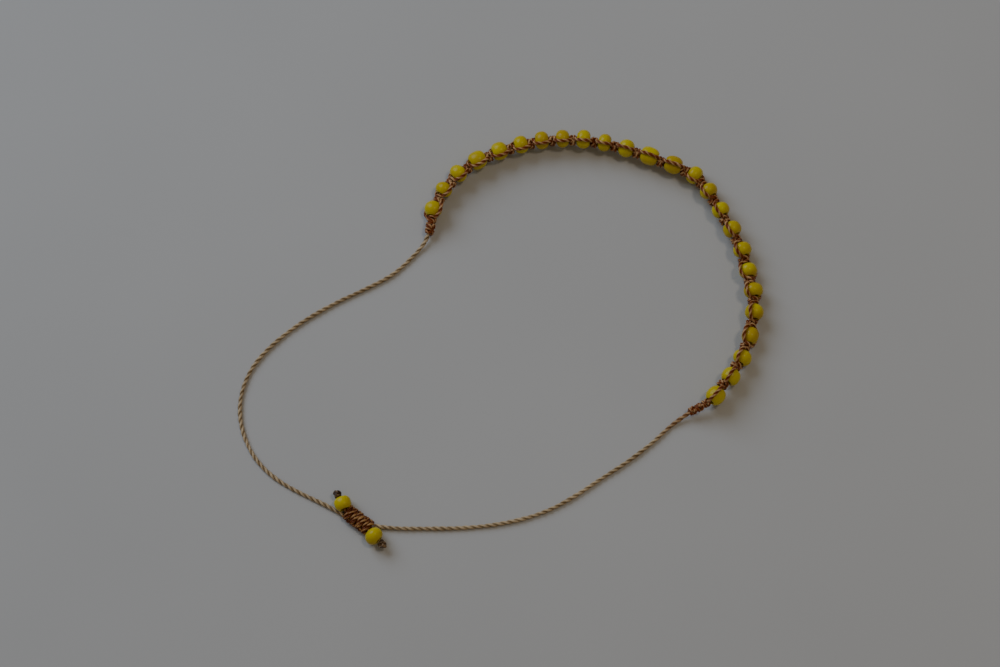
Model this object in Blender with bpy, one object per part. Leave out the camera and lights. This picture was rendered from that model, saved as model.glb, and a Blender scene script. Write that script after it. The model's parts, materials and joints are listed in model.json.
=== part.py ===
"""An adjustable knotted bracelet with a band of glass beads, lying open on a flat surface.

The whole loop follows one route, seen from above. It starts at the sliding knot, runs along the
left thread, the beaded band and the right thread, and comes back to the sliding knot. The surface
is at z = 0.
"""

import math

import bmesh
import bpy
import numpy as np
from mathutils import Vector

MM = 0.001

# Thread
THREAD_DIAMETER = 0.85 * MM
THREAD_SIDES = 12
THREAD_POINT_SPACING = 2.8 * THREAD_DIAMETER
THREAD_BLEND = 14 * THREAD_DIAMETER
LEFT_THREAD_LENGTH = 90.35 * MM

# Beads
BEAD_DIAMETER = 4.0 * MM
BEAD_LENGTH = 2.85 * MM
BEAD_HOLE = 1.55 * MM
BEAD_SHIFT_OUT = 0.12 * MM
BEAD_SIDES = 12

# Square knots between the beads
KNOT_LENGTH = 1.58 * MM
KNOT_WIDTH = 2.4 * MM
KNOT_THICKNESS = 1.9 * MM
KNOT_SHIFT_IN = 0.25 * MM
KNOT_SHOULDER = 0.16
KNOT_SIDES = 8
SIDE_THREAD_SIDES = 6
SIDE_THREAD_INTO_KNOT = 0.55 * MM
SIDE_THREAD_FROM_CORE = 0.45 * MM

# Rows of knots at the band's two ends
LEFT_END_LENGTH = 3.85 * MM
LEFT_END_WIDTH = 1.9 * MM
LEFT_END_KNOTS = 3
RIGHT_END_LENGTH = 4.6 * MM
RIGHT_END_WIDTH = 1.65 * MM
RIGHT_END_KNOTS = 3
END_KNOT_TAPER = 0.78
END_KNOT_WAIST = 0.8
BAND_TO_SURFACE_RUN = 11.4 * MM

# Sliding knot, its two stopper beads and the tails
SLIDER_LENGTH = 6.0 * MM
SLIDER_WIDTH = 3.5 * MM
SLIDER_THICKNESS = 2.5 * MM
SLIDER_KNOTS = 4
SLIDER_WAIST = 0.82
SLIDER_SIDES = 12
SLIDER_ENTRY_HEIGHT = 0.6 * MM
TAIL_KNOT_LENGTH = {"left": 1.5 * MM, "right": 1.9 * MM}
TAIL_KNOT_ASIDE = {"left": -0.9 * MM, "right": 0.0}
TAIL_KNOT_DIAMETER = 1.8 * MM
TAIL_SIDES = 8

# Clearances
BEAD_TO_KNOT = 0.16 * MM
BEAD_TO_THREAD = 0.15 * MM
THREAD_END_GAP = 0.3 * MM
TAIL_TO_SLIDER = 0.15 * MM
TAIL_KNOT_GAP = 0.05 * MM

# The middle of the band and sliding knot, in the millimetres of the route below.
ROUTE_MIDDLE = (10.57, -0.6)

# The loop's route seen from above, in millimetres, from the sliding knot and back to it.
ROUTE = (
    (-32.5, -38.9),
    (-36.2, -36.9),
    (-40.1, -35.1),
    (-44.1, -33.0),
    (-47.6, -30.5),
    (-50.6, -27.3),
    (-52.8, -23.3),
    (-54.1, -18.4),
    (-53.9, -13.0),
    (-51.8, -7.5),
    (-47.6, -2.4),
    (-41.9, 2.3),
    (-35.1, 6.5),
    (-28.6, 9.8),
    (-23.1, 12.9),
    (-18.7, 17.0),
    (-15.7, 20.8),
    (-14.7, 24.3),
    (-13.65, 28.7),
    (-10.15, 34.1),
    (-4.7, 38.45),
    (2.2, 41.4),
    (9.0, 43.0),
    (16.0, 43.3),
    (22.8, 42.3),
    (29.6, 40.15),
    (35.95, 37.6),
    (41.55, 35.2),
    (44.85, 31.0),
    (48.0, 25.0),
    (51.0, 19.0),
    (52.45, 13.3),
    (53.55, 7.0),
    (52.8, 0.4),
    (50.7, -5.8),
    (47.3, -11.2),
    (43.55, -15.5),
    (39.45, -17.75),
    (35.7, -20.2),
    (31.4, -24.1),
    (26.2, -28.1),
    (20.6, -31.8),
    (15.7, -35.1),
    (10.3, -38.1),
    (4.6, -40.1),
    (-1.8, -41.4),
    (-8.6, -42.0),
    (-15.6, -42.1),
    (-21.2, -41.9),
    (-25.4, -41.4),
)

# The band's beads from left to right and the knot after each, as shares of the usual sizes, and
# how far the band's upper edge leans outward there, in degrees. The last bead has the row of knots
# at the band's end after it.
BAND_BEADS = (
    {"diameter": 0.96, "length": 1.08, "knot": 1.14, "lean": -46},
    {"diameter": 0.92, "length": 0.95, "knot": 1.03, "lean": -41},
    {"diameter": 1.0, "length": 1.02, "knot": 1.03, "lean": -42},
    {"diameter": 1.03, "length": 1.2, "knot": 1.01, "lean": -41},
    {"diameter": 1.0, "length": 1.1, "knot": 0.99, "lean": -44},
    {"diameter": 1.0, "length": 1.0, "knot": 0.93, "lean": -44},
    {"diameter": 1.0, "length": 0.98, "knot": 0.9, "lean": -37},
    {"diameter": 1.0, "length": 0.95, "knot": 0.87, "lean": -33},
    {"diameter": 1.04, "length": 1.02, "knot": 0.94, "lean": -27},
    {"diameter": 1.0, "length": 0.95, "knot": 1.0, "lean": -25},
    {"diameter": 1.0, "length": 1.12, "knot": 0.96, "lean": -18},
    {"diameter": 1.0, "length": 1.3, "knot": 0.92, "lean": -13},
    {"diameter": 1.0, "length": 1.28, "knot": 0.9, "lean": -14},
    {"diameter": 1.0, "length": 1.0, "knot": 1.03, "lean": -46},
    {"diameter": 1.0, "length": 0.97, "knot": 1.22, "lean": -38},
    {"diameter": 0.97, "length": 0.98, "knot": 1.14, "lean": -30},
    {"diameter": 1.0, "length": 1.04, "knot": 1.1, "lean": -28},
    {"diameter": 1.0, "length": 1.0, "knot": 1.0, "lean": -38},
    {"diameter": 1.0, "length": 1.0, "knot": 0.94, "lean": -48},
    {"diameter": 1.05, "length": 1.0, "knot": 1.02, "lean": -40},
    {"diameter": 1.02, "length": 1.08, "knot": 1.02, "lean": -26},
    {"diameter": 0.93, "length": 1.18, "knot": 1.14, "lean": -38},
    {"diameter": 1.0, "length": 1.05, "knot": 0.93, "lean": -22},
    {"diameter": 1.0, "length": 1.1, "knot": 1.0, "lean": -5},
    {"diameter": 1.0, "length": 1.25, "knot": 1.0, "lean": 0},
)

# A bead's wall, from its belt to its hole: shares of its half length and of its radius.
BEAD_PROFILE = (
    {"along": 0.22, "out": 1.0},
    {"along": 0.7, "out": 0.83},
    {"along": 1.0, "out": 0.54},
)
BEAD_HOLE_EDGE = 0.9

# The oval that such a bead's outside follows is longer than the bead by this share.
BEAD_BULGE = 1.13

# The sliding knot's place, and what lies off each of its faces: the stopper bead, so far out and
# to the loop's inner side, and the place where the bare thread enters.
SLIDER_LEFT_FACE = (-31.4, -38.7)
SLIDER_DIRECTION_DEGREES = -37.3
STOPPERS = {
    "left": {"diameter": 0.89, "length": 0.95, "turn_degrees": -32},
    "right": {"diameter": 0.98, "length": 0.98, "turn_degrees": -7},
}
STOPPER_OUT = {"left": 1.6 * MM, "right": 1.74 * MM}
STOPPER_ASIDE = {"left": 0.76 * MM, "right": -0.75 * MM}
TAIL_ASIDE = {"left": 0.05 * MM, "right": -0.6 * MM}
ENTRY_ASIDE = {"left": -0.9 * MM, "right": 1.15 * MM}

# The burnt knot on each tail: shares of its length and of its diameter, from the bead outward.
TAIL_KNOT_SHAPE = (
    {"share": 0.0, "diameter": 0.75},
    {"share": 0.3, "diameter": 1.0},
    {"share": 0.7, "diameter": 0.9},
    {"share": 1.0, "diameter": 0.5},
)

YELLOW = (0.42, 0.30, 0.01)
BROWN = (0.09, 0.035, 0.012)
BEIGE = (0.30, 0.19, 0.09)
BURNT = (0.03, 0.012, 0.006)

THREAD_RADIUS = THREAD_DIAMETER / 2
SHARP_DEGREES = 50


def clear_scene():
    for item in list(bpy.data.objects):
        bpy.data.objects.remove(item)


def make_material(name, colour, roughness):
    material = bpy.data.materials.new(name)
    material.use_nodes = True
    shader = material.node_tree.nodes["Principled BSDF"]
    shader.inputs["Base Color"].default_value = (*colour, 1)
    shader.inputs["Roughness"].default_value = roughness
    shader.inputs["Metallic"].default_value = 0
    return material


def smooth_step(share):
    share = min(max(share, 0), 1)
    return share * share * (3 - 2 * share)


def spline_through(points, steps):
    """A smooth curve through the points, with so many steps between each two."""
    first = 2 * points[0] - points[1]
    last = 2 * points[-1] - points[-2]
    known = np.vstack([first, points, last])
    curve = []
    for i in range(len(points) - 1):
        a, b, c, d = known[i : i + 4]
        for t in np.arange(steps) / steps:
            even = 2 * b + (c - a) * t
            curved = (2 * a - 5 * b + 4 * c - d) * t**2 + (3 * b - a - 3 * c + d) * t**3
            curve.append((even + curved) / 2)
    curve.append(points[-1])
    return np.array(curve)


class Route:
    """The loop seen from above, with places on it given by the distance along it."""

    def __init__(self):
        steps = 24
        points = (np.array(ROUTE) - np.array(ROUTE_MIDDLE)) * MM
        self.curve = spline_through(points, steps)
        spans = np.linalg.norm(np.diff(self.curve, axis=0), axis=1)
        self.along = np.concatenate([[0], np.cumsum(spans)])
        self.length = float(self.along[-1])

    def plan(self, s):
        x = float(np.interp(s, self.along, self.curve[:, 0]))
        y = float(np.interp(s, self.along, self.curve[:, 1]))
        return Vector((x, y, 0))

    def direction(self, s):
        reach = THREAD_DIAMETER
        return (self.plan(s + reach) - self.plan(s - reach)).normalized()

    def outward(self, s):
        direction = self.direction(s)
        return Vector((-direction.y, direction.x, 0))


def bead_sizes(shares):
    """(radius, half length) of a bead."""
    return BEAD_DIAMETER / 2 * shares["diameter"], BEAD_LENGTH / 2 * shares["length"]


def side_thread_reach(radius):
    """From a bead's axis to the middle of the thread that passes round it."""
    return radius + BEAD_TO_THREAD + THREAD_RADIUS


class Band:
    """Where each bead and knot of the band lies along the route, and how high and how leant."""

    def __init__(self, route):
        self.route = route
        self.start = LEFT_THREAD_LENGTH
        self.beads = []
        self.knots = []
        place = self.start + LEFT_END_LENGTH + BEAD_TO_KNOT
        for number, row in enumerate(BAND_BEADS, start=1):
            radius, half = bead_sizes(row)
            place += half
            lean = math.radians(row["lean"])
            height = side_thread_reach(radius) * math.cos(lean) + THREAD_RADIUS
            bead = {"number": number, "s": place, "radius": radius, "half": half}
            self.beads.append({**bead, "lean": lean, "height": height})
            place += half + BEAD_TO_KNOT
            if number < len(BAND_BEADS):
                length = KNOT_LENGTH * row["knot"]
                self.knots.append({"s": place + length / 2, "length": length})
                place += length + BEAD_TO_KNOT
        self.end = place + RIGHT_END_LENGTH

    def lean(self, s):
        places = [bead["s"] for bead in self.beads]
        return float(np.interp(s, places, [bead["lean"] for bead in self.beads]))

    def height(self, s):
        """The core thread's height, which eases down to the surface past the end beads."""
        places = [bead["s"] for bead in self.beads]
        level = float(np.interp(s, places, [bead["height"] for bead in self.beads]))
        past = max(places[0] - s, s - places[-1], 0)
        ease = smooth_step(past / BAND_TO_SURFACE_RUN)
        return level + (THREAD_RADIUS - level) * ease

    def core(self, s):
        return self.route.plan(s) + Vector((0, 0, self.height(s)))

    def across(self, s, lean=None):
        """(towards the upper side thread, outward and square to it) at a place along the band."""
        lean = self.lean(s) if lean is None else lean
        outward = self.route.outward(s)
        upward = Vector((0, 0, 1))
        towards = outward * math.sin(lean) + upward * math.cos(lean)
        square = outward * math.cos(lean) - upward * math.sin(lean)
        return towards, square


def ring(centre, first, second, sides, turn=0.0):
    """An ellipse of points round a centre, from its two half axes."""
    points = []
    for i in range(sides):
        angle = 2 * math.pi * (i + turn) / sides
        points.append(centre + first * math.cos(angle) + second * math.sin(angle))
    return points


def add_lofted_body(mesh, rings, closed=False):
    """Skin a row of rings of points, with flat ends, or joined end to start."""
    rows = [[mesh.verts.new(point) for point in points] for points in rings]
    sides = len(rows[0])
    pairs = list(zip(rows, rows[1:]))
    if closed:
        pairs.append((rows[-1], rows[0]))
    for low, high in pairs:
        for i in range(sides):
            j = (i + 1) % sides
            mesh.faces.new((low[i], low[j], high[j], high[i]))
    if not closed:
        mesh.faces.new(rows[0][::-1])
        mesh.faces.new(rows[-1])


def finish_object(name, mesh, material):
    bmesh.ops.recalc_face_normals(mesh, faces=mesh.faces)
    data = bpy.data.meshes.new(name)
    mesh.to_mesh(data)
    mesh.free()
    data.materials.append(material)
    data.shade_smooth()
    data.set_sharp_from_angle(angle=math.radians(SHARP_DEGREES))
    item = bpy.data.objects.new(name, data)
    bpy.context.collection.objects.link(item)
    return item


def bead_outline(radius, half):
    """The section of a bead's wall, as (along the hole, from the axis), once round."""
    side = [(row["along"] * half, row["out"] * radius) for row in BEAD_PROFILE]
    side.append((BEAD_HOLE_EDGE * half, BEAD_HOLE / 2))
    return side + [(-along, out) for along, out in side[::-1]]


def make_bead(name, centre, axis, flat_side, radius, half, material):
    """A round bead with a hole along axis, and one flat of its belt towards flat_side."""
    axis = axis.normalized()
    first = (flat_side - axis * flat_side.dot(axis)).normalized()
    second = axis.cross(first)
    outline = bead_outline(radius, half)
    rings = []
    for i in range(BEAD_SIDES):
        angle = 2 * math.pi * (i + 0.5) / BEAD_SIDES
        spoke = first * math.cos(angle) + second * math.sin(angle)
        rings.append([centre + axis * along + spoke * out for along, out in outline])
    mesh = bmesh.new()
    add_lofted_body(mesh, rings, closed=True)
    finish_object(name, mesh, material)


def make_band_beads(band, material):
    for bead in band.beads:
        s = bead["s"]
        centre = band.core(s) + band.route.outward(s) * BEAD_SHIFT_OUT
        axis = band.core(s + bead["half"]) - band.core(s - bead["half"])
        name = f"bead_{bead['number']:02d}"
        flat_side = band.across(s, bead["lean"])[0]
        make_bead(name, centre, axis, flat_side, bead["radius"], bead["half"], material)


def core_ring(band, s):
    towards, square = band.across(s)
    return ring(band.core(s), towards * THREAD_RADIUS, square * THREAD_RADIUS, KNOT_SIDES, 0.5)


def knot_rings(band, knot):
    """Rings of one square knot, from core thread to core thread."""
    half = knot["length"] / 2
    shoulder = half - KNOT_SHOULDER * knot["length"]
    rings = [core_ring(band, knot["s"] - half)]
    for along in (-shoulder, shoulder):
        s = knot["s"] + along
        towards, square = band.across(s)
        centre = band.core(s) - square * KNOT_SHIFT_IN
        tall = towards * KNOT_WIDTH / 2
        thick = square * KNOT_THICKNESS / 2
        rings.append(ring(centre, tall, thick, KNOT_SIDES, 0.5))
    rings.append(core_ring(band, knot["s"] + half))
    return rings


def end_knot_rings(band, start, length, count, first_width, last_width):
    """Rings of the row of knots that closes one end of the band."""
    rings = []
    each = length / count
    for i in range(count):
        for share, size in ((0.04, END_KNOT_WAIST), (0.3, 1), (0.7, 1), (0.96, END_KNOT_WAIST)):
            s = start + (i + share) * each
            along = (s - start) / length
            half = (first_width + (last_width - first_width) * along) / 2 * size
            towards, square = band.across(s)
            rings.append(ring(band.core(s), towards * half, square * half, KNOT_SIDES, 0.5))
    return rings


def make_knotted_core(band, material):
    """The core thread with the knots between the beads and the rows of knots at its ends."""
    left_end = band.start + LEFT_END_LENGTH
    right_end = band.end - RIGHT_END_LENGTH
    width = LEFT_END_WIDTH
    thin = width * END_KNOT_TAPER
    rings = end_knot_rings(band, band.start, LEFT_END_LENGTH, LEFT_END_KNOTS, thin, width)
    rings.append(core_ring(band, left_end + BEAD_TO_KNOT / 2))
    for knot in band.knots:
        rings += knot_rings(band, knot)
    rings.append(core_ring(band, right_end - BEAD_TO_KNOT / 2))
    width = RIGHT_END_WIDTH
    thin = width * END_KNOT_TAPER
    rings += end_knot_rings(band, right_end, RIGHT_END_LENGTH, RIGHT_END_KNOTS, width, thin)
    mesh = bmesh.new()
    add_lofted_body(mesh, rings)
    bmesh.ops.triangulate(mesh, faces=mesh.faces)
    return finish_object("knotted_band", mesh, material)


def side_thread_path(band, bead, side):
    """The middle of the thread round one bead, from inside one knot to inside the next."""
    reach = BEAD_TO_THREAD + THREAD_RADIUS
    half, s0 = bead["half"], bead["s"]
    points = []
    for degrees in (150, 127, 103, 77, 53, 30):
        angle = math.radians(degrees)
        s = s0 + (BEAD_BULGE * half + reach) * math.cos(angle)
        out = (bead["radius"] + reach) * math.sin(angle)
        towards = band.across(s, bead["lean"])[0]
        level = Vector((0, 0, bead["height"])) + band.route.outward(s0) * BEAD_SHIFT_OUT
        points.append(band.route.plan(s) + level + towards * out * side)
    ends = []
    for way in (1, -1):
        s = s0 - way * (half + BEAD_TO_KNOT + SIDE_THREAD_INTO_KNOT)
        towards = band.across(s, bead["lean"])[0]
        ends.append(band.core(s) + towards * SIDE_THREAD_FROM_CORE * side)
    return ends[:1] + points + ends[1:]


def make_side_threads(name, band, first_bead, material):
    """The threads round every second bead, as one cutter mesh of tubes that don't touch.

    The tubes of the two sets are turned by half a side, so that no edges of theirs meet.
    """
    mesh = bmesh.new()
    for bead in band.beads[first_bead::2]:
        for side in (1, -1):
            points = side_thread_path(band, bead, side)
            square = band.across(bead["s"], bead["lean"])[1]
            rings = []
            for i, point in enumerate(points):
                before = points[max(i - 1, 0)]
                after = points[min(i + 1, len(points) - 1)]
                inward = (after - before).normalized().cross(square).normalized()
                first = inward * THREAD_RADIUS
                second = square * THREAD_RADIUS
                rings.append(ring(point, first, second, SIDE_THREAD_SIDES, first_bead / 2))
            add_lofted_body(mesh, rings)
    bmesh.ops.triangulate(mesh, faces=mesh.faces)
    item = finish_object(name, mesh, material)
    item.hide_render = True
    item.display_type = "WIRE"
    return item


def make_knotted_band(band, material):
    """The core with its knots, joined with the threads that pass round the beads."""
    core = make_knotted_core(band, material)
    for first in (0, 1):
        threads = make_side_threads(f"side_threads_{first}", band, first, material)
        union = core.modifiers.new(f"side threads {first}", "BOOLEAN")
        union.operation = "UNION"
        union.solver = "EXACT"
        union.object = threads


def make_thread(name, points, material):
    """A bare thread as a round tube with closed ends."""
    curve = bpy.data.curves.new(name, "CURVE")
    curve.dimensions = "3D"
    curve.bevel_depth = THREAD_RADIUS
    curve.bevel_resolution = THREAD_SIDES // 4 - 1
    curve.use_fill_caps = True
    spline = curve.splines.new("POLY")
    spline.points.add(len(points) - 1)
    for target, point in zip(spline.points, points):
        target.co = (*point, 1)
    curve.materials.append(material)
    item = bpy.data.objects.new(name, curve)
    bpy.context.collection.objects.link(item)


class Slider:
    """The sliding knot's place: its two faces, its length and the threads that enter it."""

    def __init__(self):
        angle = math.radians(SLIDER_DIRECTION_DEGREES)
        middle = Vector((*ROUTE_MIDDLE, 0))
        self.along = Vector((math.cos(angle), math.sin(angle), 0))
        self.aside = Vector((-math.sin(angle), math.cos(angle), 0))
        height = SLIDER_THICKNESS / 2 * math.cos(math.pi / SLIDER_SIDES)
        self.left = (Vector((*SLIDER_LEFT_FACE, 0)) - middle) * MM + Vector((0, 0, height))
        self.right = self.left + self.along * SLIDER_LENGTH

    def out_of(self, end):
        return -self.along if end == "left" else self.along

    def off_face(self, end, out, aside):
        """A point so far out of one end face and towards the loop's inner side."""
        face = self.left if end == "left" else self.right
        return face + self.out_of(end) * out + self.aside * aside

    def entry(self, end):
        """Where a bare thread enters: low on the face, on the side away from the stopper bead."""
        point = self.off_face(end, THREAD_END_GAP, ENTRY_ASIDE[end])
        point.z = SLIDER_ENTRY_HEIGHT
        return point


def thread_points(band, start, end, entry, entry_at_start):
    """A bare thread's points from place start to place end, bent to its entry in the knot."""
    count = round((end - start) / THREAD_POINT_SPACING)
    near_end = start if entry_at_start else end
    offset = entry - band.core(near_end)
    points = []
    for i in range(count + 1):
        s = start + (end - start) * i / count
        ease = 1 - smooth_step(abs(s - near_end) / THREAD_BLEND)
        points.append(band.core(s) + offset * ease)
    return points


def make_sliding_knot(slider, material):
    rings = []
    each = SLIDER_LENGTH / SLIDER_KNOTS
    upward = Vector((0, 0, 1))
    for i in range(SLIDER_KNOTS):
        for share, size in ((0, SLIDER_WAIST), (0.22, 1), (0.78, 1), (0.98, SLIDER_WAIST)):
            centre = slider.left + slider.along * (i + share) * each
            wide = slider.aside * SLIDER_WIDTH / 2 * size
            thick = upward * SLIDER_THICKNESS / 2 * size
            rings.append(ring(centre, wide, thick, SLIDER_SIDES, 0.5))
    mesh = bmesh.new()
    add_lofted_body(mesh, rings)
    finish_object("sliding_knot", mesh, material)


def make_stopper(slider, end, bead_material, tail_material):
    """A stopper bead beside the sliding knot, and the tail through it with its end knot."""
    sizes = STOPPERS[end]
    radius, half = bead_sizes(sizes)
    out = slider.out_of(end)
    upward = Vector((0, 0, 1))
    turn = math.radians(sizes["turn_degrees"])
    axis = out * math.cos(turn) - out.cross(upward) * math.sin(turn)
    centre = slider.off_face(end, STOPPER_OUT[end], STOPPER_ASIDE[end])
    centre.z = radius * math.cos(math.pi / BEAD_SIDES)
    make_bead(f"stopper_bead_{end}", centre, axis, -upward, radius, half, bead_material)
    start = slider.off_face(end, TAIL_TO_SLIDER, TAIL_ASIDE[end])
    make_tail(end, start, centre, axis, half, tail_material)


def make_tail(end, start, centre, axis, half, material):
    """The thread from the sliding knot through the stopper bead, and the burnt knot on its end."""
    upward = Vector((0, 0, 1))
    side = axis.cross(upward)
    thin = THREAD_RADIUS
    rows = [(start, thin), (centre - axis * half, thin), (centre + axis * half, thin)]
    for shape in TAIL_KNOT_SHAPE:
        along = half + TAIL_KNOT_GAP + shape["share"] * TAIL_KNOT_LENGTH[end]
        aside = shape["share"] * TAIL_KNOT_ASIDE[end]
        point = centre + axis * along + side * aside
        rows.append((point, shape["diameter"] * TAIL_KNOT_DIAMETER / 2))
    rings = []
    for point, radius in rows:
        rings.append(ring(point, side * radius, upward * radius, TAIL_SIDES, 0.5))
    mesh = bmesh.new()
    add_lofted_body(mesh, rings)
    finish_object(f"tail_{end}", mesh, material)


def build():
    clear_scene()
    glass = make_material("yellow_glass", YELLOW, 0.25)
    knotted = make_material("knotted_thread", BROWN, 0.6)
    bare = make_material("bare_thread", BEIGE, 0.6)
    burnt = make_material("burnt_thread", BURNT, 0.5)
    route = Route()
    band = Band(route)
    slider = Slider()
    make_band_beads(band, glass)
    make_knotted_band(band, knotted)
    left_entry = slider.entry("left")
    right_entry = slider.entry("right")
    left_end = band.start - THREAD_END_GAP
    right_start = band.end + THREAD_END_GAP
    make_thread("thread_left", thread_points(band, 0, left_end, left_entry, True), bare)
    make_thread("thread_right", thread_points(band, right_start, route.length, right_entry, False), bare)
    make_sliding_knot(slider, knotted)
    make_stopper(slider, "left", glass, burnt)
    make_stopper(slider, "right", glass, burnt)


build()
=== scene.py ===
"""Dresses a knotted bracelet of yellow glass beads: beads, twisted threads, knots, floor and light.

The loop's route and the band's lean are the same as in the bracelet's solids, in millimetres and
degrees. Everything else hangs on them: a place is a distance along the loop, and a point across the
thread is given by how far it lies towards the band's upper edge and how far square to that.
"""

import json
import math

import bmesh
import bpy
import numpy as np
from bpy.props import FloatProperty, FloatVectorProperty, IntProperty, PointerProperty
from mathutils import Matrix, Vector

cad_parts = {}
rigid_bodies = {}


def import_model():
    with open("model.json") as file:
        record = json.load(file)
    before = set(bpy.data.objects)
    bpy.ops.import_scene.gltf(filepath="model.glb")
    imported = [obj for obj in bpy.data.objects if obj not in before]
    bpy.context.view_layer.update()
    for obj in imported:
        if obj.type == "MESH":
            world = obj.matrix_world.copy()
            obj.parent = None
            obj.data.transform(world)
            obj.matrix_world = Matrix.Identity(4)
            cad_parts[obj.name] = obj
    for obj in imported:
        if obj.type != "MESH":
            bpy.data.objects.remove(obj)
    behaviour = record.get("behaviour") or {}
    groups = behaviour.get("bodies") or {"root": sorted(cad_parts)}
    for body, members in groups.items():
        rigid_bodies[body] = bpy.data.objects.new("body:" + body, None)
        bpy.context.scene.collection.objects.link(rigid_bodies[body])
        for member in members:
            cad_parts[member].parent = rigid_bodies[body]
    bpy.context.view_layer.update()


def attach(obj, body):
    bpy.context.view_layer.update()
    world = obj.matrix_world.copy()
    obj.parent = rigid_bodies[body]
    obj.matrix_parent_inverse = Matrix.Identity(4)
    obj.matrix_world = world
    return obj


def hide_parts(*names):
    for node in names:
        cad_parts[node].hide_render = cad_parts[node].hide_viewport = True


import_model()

bl_info = {
    "name": "Knotted bead bracelet",
    "version": (1, 0, 0),
    "blender": (4, 5, 0),
    "location": "3D View > Sidebar > Bracelet",
    "description": "Beads, twisted threads and square knots of an adjustable bracelet",
    "category": "Add Mesh",
}

MM = 0.001
UP = Vector((0, 0, 1))

# Sizes that the solids have too
THREAD_DIAMETER = 0.85 * MM
THREAD_POINT_SPACING = 2.8 * THREAD_DIAMETER
THREAD_BLEND = 14 * THREAD_DIAMETER
LEFT_THREAD_LENGTH = 90.35 * MM
THREAD_END_GAP = 0.3 * MM

BEAD_DIAMETER = 4.0 * MM
BEAD_LENGTH = 2.85 * MM
BEAD_HOLE = 1.55 * MM
BEAD_SHIFT_OUT = 0.12 * MM
BEAD_TO_KNOT = 0.16 * MM
BEAD_TO_THREAD = 0.15 * MM
BEAD_BULGE = 1.13

KNOT_LENGTH = 1.58 * MM
KNOT_SHIFT_IN = 0.25 * MM
LEFT_END_LENGTH = 3.85 * MM
RIGHT_END_LENGTH = 4.6 * MM
END_KNOTS = 3
BAND_TO_SURFACE_RUN = 11.4 * MM

SLIDER_LENGTH = 6.0 * MM
SLIDER_THICKNESS = 2.5 * MM
SLIDER_KNOTS = 4
SLIDER_SIDES = 12
SLIDER_ENTRY_HEIGHT = 0.6 * MM
SLIDER_LEFT_FACE = (-31.4, -38.7)
SLIDER_DIRECTION_DEGREES = -37.3
TAIL_TO_SLIDER = 0.15 * MM
TAIL_KNOT_GAP = 0.05 * MM
TAIL_KNOT_LENGTH = {"left": 1.5 * MM, "right": 1.9 * MM}
TAIL_KNOT_ASIDE = {"left": -0.9 * MM, "right": 0.0}
TAIL_KNOT_DIAMETER = 1.8 * MM

ROUTE_MIDDLE = (10.57, -0.6)

# The loop's route seen from above, in millimetres, from the sliding knot and back to it
ROUTE = (
    (-32.5, -38.9),
    (-36.2, -36.9),
    (-40.1, -35.1),
    (-44.1, -33.0),
    (-47.6, -30.5),
    (-50.6, -27.3),
    (-52.8, -23.3),
    (-54.1, -18.4),
    (-53.9, -13.0),
    (-51.8, -7.5),
    (-47.6, -2.4),
    (-41.9, 2.3),
    (-35.1, 6.5),
    (-28.6, 9.8),
    (-23.1, 12.9),
    (-18.7, 17.0),
    (-15.7, 20.8),
    (-14.7, 24.3),
    (-13.65, 28.7),
    (-10.15, 34.1),
    (-4.7, 38.45),
    (2.2, 41.4),
    (9.0, 43.0),
    (16.0, 43.3),
    (22.8, 42.3),
    (29.6, 40.15),
    (35.95, 37.6),
    (41.55, 35.2),
    (44.85, 31.0),
    (48.0, 25.0),
    (51.0, 19.0),
    (52.45, 13.3),
    (53.55, 7.0),
    (52.8, 0.4),
    (50.7, -5.8),
    (47.3, -11.2),
    (43.55, -15.5),
    (39.45, -17.75),
    (35.7, -20.2),
    (31.4, -24.1),
    (26.2, -28.1),
    (20.6, -31.8),
    (15.7, -35.1),
    (10.3, -38.1),
    (4.6, -40.1),
    (-1.8, -41.4),
    (-8.6, -42.0),
    (-15.6, -42.1),
    (-21.2, -41.9),
    (-25.4, -41.4),
)

# The band's beads from left to right and the knot after each, as shares of the usual sizes, and
# how far the band's upper edge leans outward there, in degrees
BAND_BEADS = (
    {"diameter": 0.96, "length": 1.08, "knot": 1.14, "lean": -46},
    {"diameter": 0.92, "length": 0.95, "knot": 1.03, "lean": -41},
    {"diameter": 1.0, "length": 1.02, "knot": 1.03, "lean": -42},
    {"diameter": 1.03, "length": 1.2, "knot": 1.01, "lean": -41},
    {"diameter": 1.0, "length": 1.1, "knot": 0.99, "lean": -44},
    {"diameter": 1.0, "length": 1.0, "knot": 0.93, "lean": -44},
    {"diameter": 1.0, "length": 0.98, "knot": 0.9, "lean": -37},
    {"diameter": 1.0, "length": 0.95, "knot": 0.87, "lean": -33},
    {"diameter": 1.04, "length": 1.02, "knot": 0.94, "lean": -27},
    {"diameter": 1.0, "length": 0.95, "knot": 1.0, "lean": -25},
    {"diameter": 1.0, "length": 1.12, "knot": 0.96, "lean": -18},
    {"diameter": 1.0, "length": 1.3, "knot": 0.92, "lean": -13},
    {"diameter": 1.0, "length": 1.28, "knot": 0.9, "lean": -14},
    {"diameter": 1.0, "length": 1.0, "knot": 1.03, "lean": -46},
    {"diameter": 1.0, "length": 0.97, "knot": 1.22, "lean": -38},
    {"diameter": 0.97, "length": 0.98, "knot": 1.14, "lean": -30},
    {"diameter": 1.0, "length": 1.04, "knot": 1.1, "lean": -28},
    {"diameter": 1.0, "length": 1.0, "knot": 1.0, "lean": -38},
    {"diameter": 1.0, "length": 1.0, "knot": 0.94, "lean": -48},
    {"diameter": 1.05, "length": 1.0, "knot": 1.02, "lean": -40},
    {"diameter": 1.02, "length": 1.08, "knot": 1.02, "lean": -26},
    {"diameter": 0.93, "length": 1.18, "knot": 1.14, "lean": -38},
    {"diameter": 1.0, "length": 1.05, "knot": 0.93, "lean": -22},
    {"diameter": 1.0, "length": 1.1, "knot": 1.0, "lean": -5},
    {"diameter": 1.0, "length": 1.25, "knot": 1.0, "lean": 0},
)

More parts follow.
